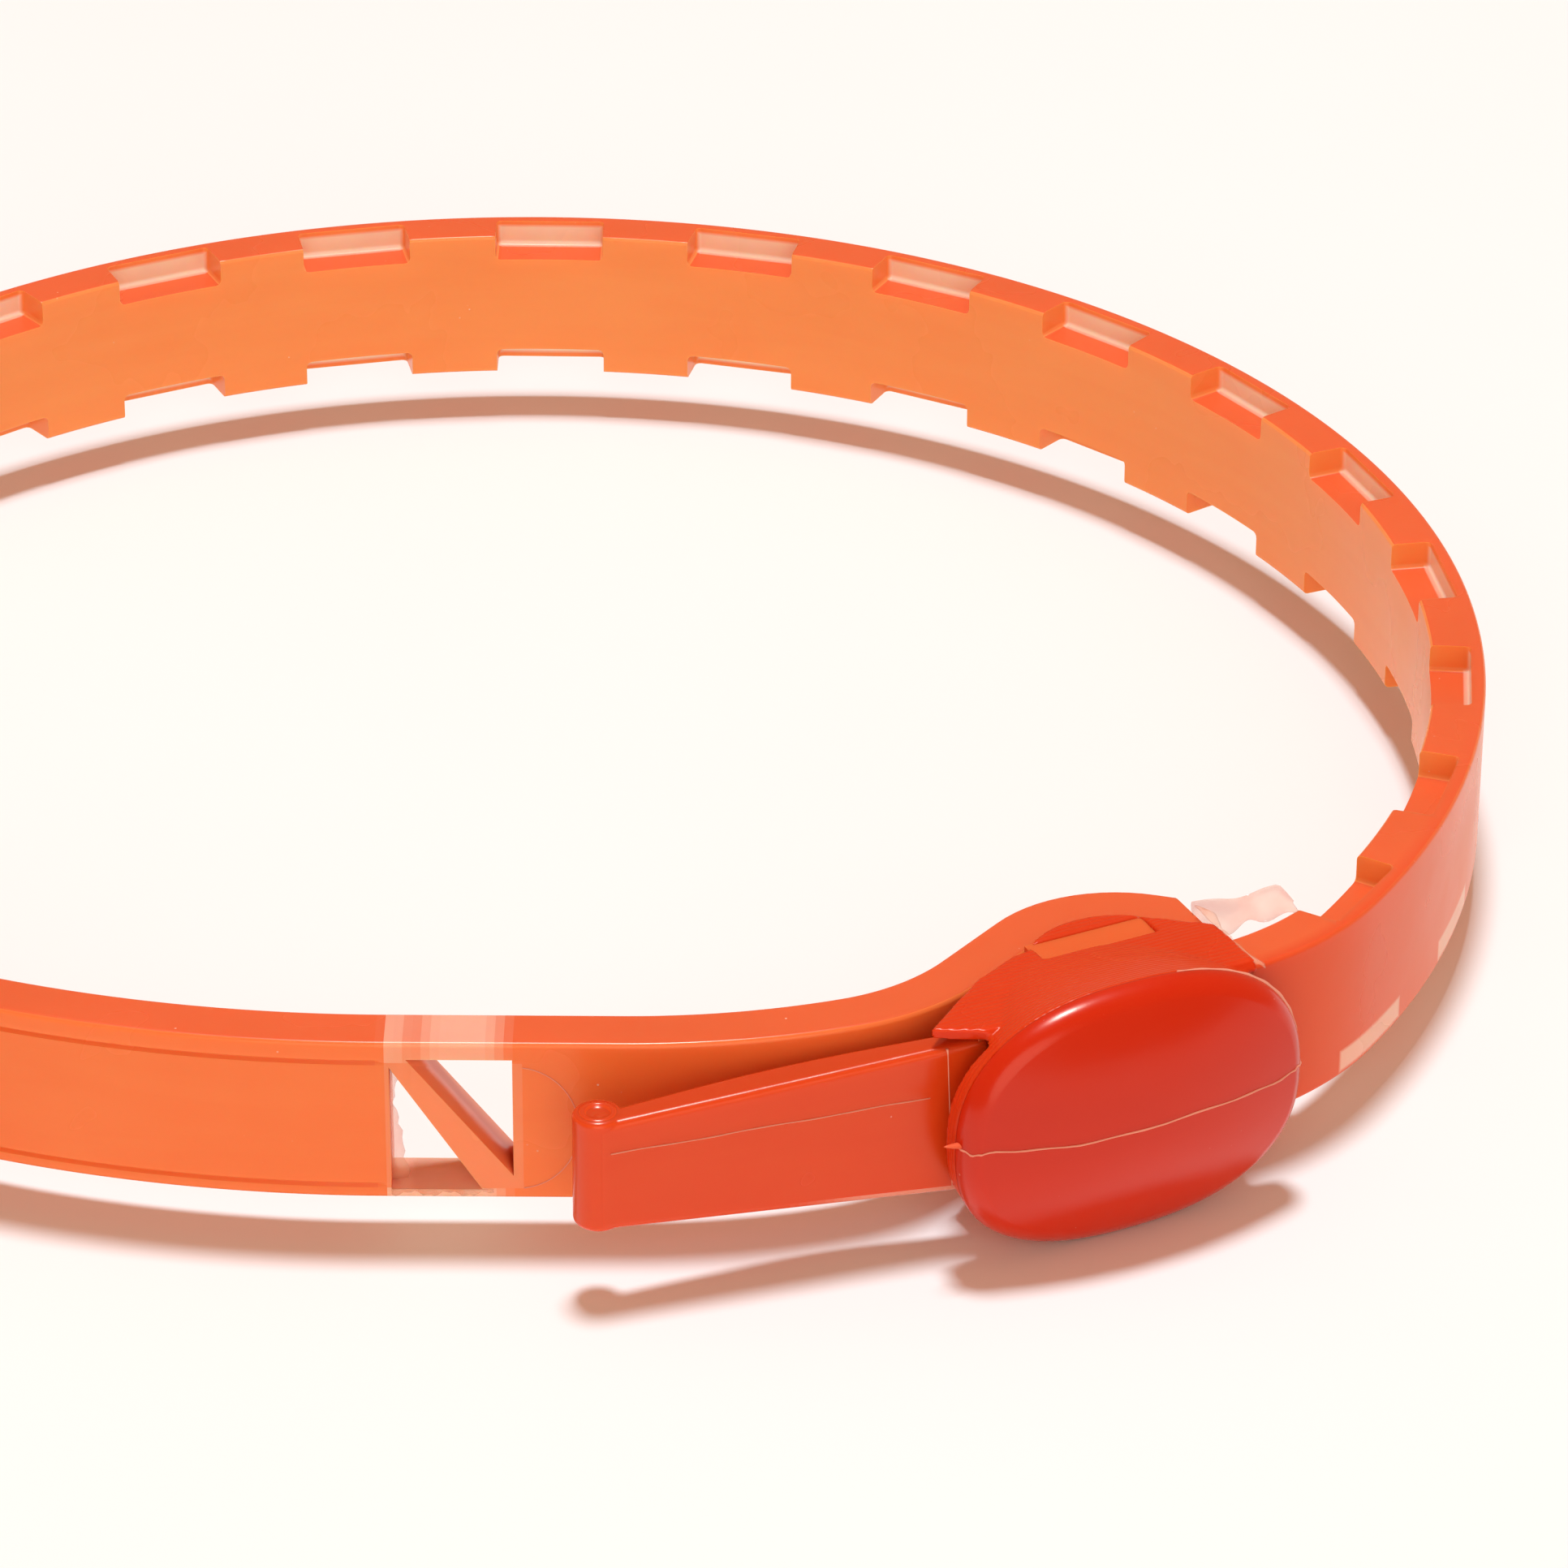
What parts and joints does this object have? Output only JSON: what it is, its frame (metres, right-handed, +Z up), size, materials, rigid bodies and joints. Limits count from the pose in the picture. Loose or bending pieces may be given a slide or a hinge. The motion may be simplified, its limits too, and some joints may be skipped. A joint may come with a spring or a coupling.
{
  "type": "flexible strap bike lock",
  "caption": "Closed loop strap lock: plain anchor band with a ribbed window, sleeve head with domed cover, and a notched strap ending in a tapered tongue.",
  "frame": {"origin": "under the centre of the outline box, on the level of the lowest point of the cover", "axes": "+Z up through the loop, -Y towards the side that carries the window and the tongue, +X towards the mouth of the head"},
  "size_m": [0.1158, 0.1091, 0.016],
  "materials": {
    "strap_plastic": "satin, slightly translucent",
    "head_plastic": "satin, slightly translucent",
    "cover_plastic": "satin",
    "tongue_plastic": "satin",
    "inner_plastic": "satin",
    "film_plastic": "clear thin film",
    "steel": "plain"
  },
  "bodies": {
    "anchor": {"anchor_band": "strap_plastic", "head_shell": "head_plastic", "front_cover": "cover_plastic", "cover_pins": "steel", "pawl_pin": "steel", "pawl_spring": "steel", "spring_rivet": "steel", "pad_spring": "steel", "spring_seat": "inner_plastic", "window_film": "film_plastic", "mouth_film": "film_plastic"},
    "strap": {"rack_strap": "strap_plastic", "strap_tongue": "tongue_plastic", "tongue_rivets": "steel", "barrel_pin": "tongue_plastic"},
    "pawl": {"lock_pawl": "inner_plastic", "pawl_bush": "steel", "release_lug": "inner_plastic"},
    "pad": {"pressure_pad": "inner_plastic", "pad_facing": "inner_plastic"}
  },
  "joints": [
    {"name": "strap_swing", "type": "hinge", "parent": "anchor", "child": "strap", "pos_m": [-0.01273, 0.05308, 0.0083], "axis": [0, 0, 1], "range_deg": [0, 40]},
    {"name": "pawl_pivot", "type": "hinge", "parent": "anchor", "child": "pawl", "pos_m": [0.03052, -0.04068, 0.0083], "axis": [0, 0, -1], "range_deg": [0, 10]},
    {"name": "pad_slide", "type": "slide", "parent": "anchor", "child": "pad", "axis": [-0.4485, 0.8938, 0], "range_m": [0, 0.0013]}
  ]
}
